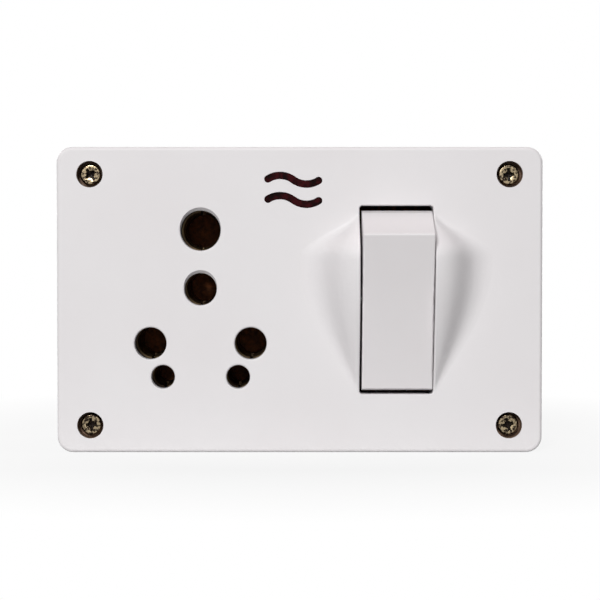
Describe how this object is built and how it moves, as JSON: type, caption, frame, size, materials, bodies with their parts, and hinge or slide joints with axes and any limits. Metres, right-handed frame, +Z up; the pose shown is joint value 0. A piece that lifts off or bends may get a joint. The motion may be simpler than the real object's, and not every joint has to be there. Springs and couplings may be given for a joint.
{
  "type": "switch and socket unit",
  "caption": "Surface-mounted switch and socket unit with round pin holes for large and small earthed plugs, a tall piano-type rocker between raised cheeks, and a red indicator.",
  "frame": {"origin": "centre of the face that lies on the wall", "axes": "+X to the right along the width, +Y into the wall so that the front faces -Y, +Z up"},
  "size_m": [0.123, 0.0549, 0.0774],
  "materials": {
    "white_moulding": "moulded, smooth",
    "white_key": "moulded, smooth",
    "yellow_zinc": "yellow zinc plate",
    "phenolic": "moulded phenolic",
    "brass": "stamped strip",
    "steel": "bright zinc plate",
    "spring_steel": "drawn wire and strip",
    "silver": "contact silver",
    "nylon": "moulded",
    "red_lens": "dark red, polished",
    "lamp_glass": "blown glass",
    "resistor_body": "lacquered",
    "tinned_wire": "tinned"
  },
  "bodies": {
    "housing": {"front_cover": "white_moulding", "back_box": "white_moulding", "cover_screws": "yellow_zinc", "mechanism_base": "phenolic", "base_screws": "steel", "line_contact": "brass", "neutral_contact": "brass", "earth_contact": "brass", "grip_rings": "spring_steel", "terminal_screws": "steel", "pivot_pin": "steel", "fixed_contact": "brass", "fixed_tip": "silver", "live_terminal": "brass", "link_rivet": "brass", "indicator_lens": "red_lens", "neon_lamp": "lamp_glass", "lamp_resistor": "resistor_body", "lamp_leads": "tinned_wire"},
    "rocker": {"rocker": "white_key", "plunger_spring": "spring_steel"},
    "plunger": {"plunger": "nylon"},
    "moving_contact": {"moving_contact": "brass", "moving_tip": "silver"}
  },
  "joints": [
    {"name": "rocker_hinge", "type": "hinge", "parent": "housing", "child": "rocker", "pos_m": [0.0245, -0.039, 0], "axis": [-1, 0, 0], "range_deg": [0, 14]},
    {"name": "contact_rock", "type": "hinge", "parent": "housing", "child": "moving_contact", "pos_m": [0.0245, -0.02301, 0], "axis": [1, 0, 0], "range_deg": [0, 12]},
    {"name": "plunger_slide", "type": "slide", "parent": "rocker", "child": "plunger", "axis": [0, -0.9925, -0.1219], "range_m": [0, 0.0015], "stiffness_N_per_m": 600, "springref_m": -0.001, "deforming": ["plunger_spring"]}
  ],
  "couplings": [
    {"joint": "contact_rock", "follows": "rocker_hinge", "ratio": 0.85714}
  ]
}
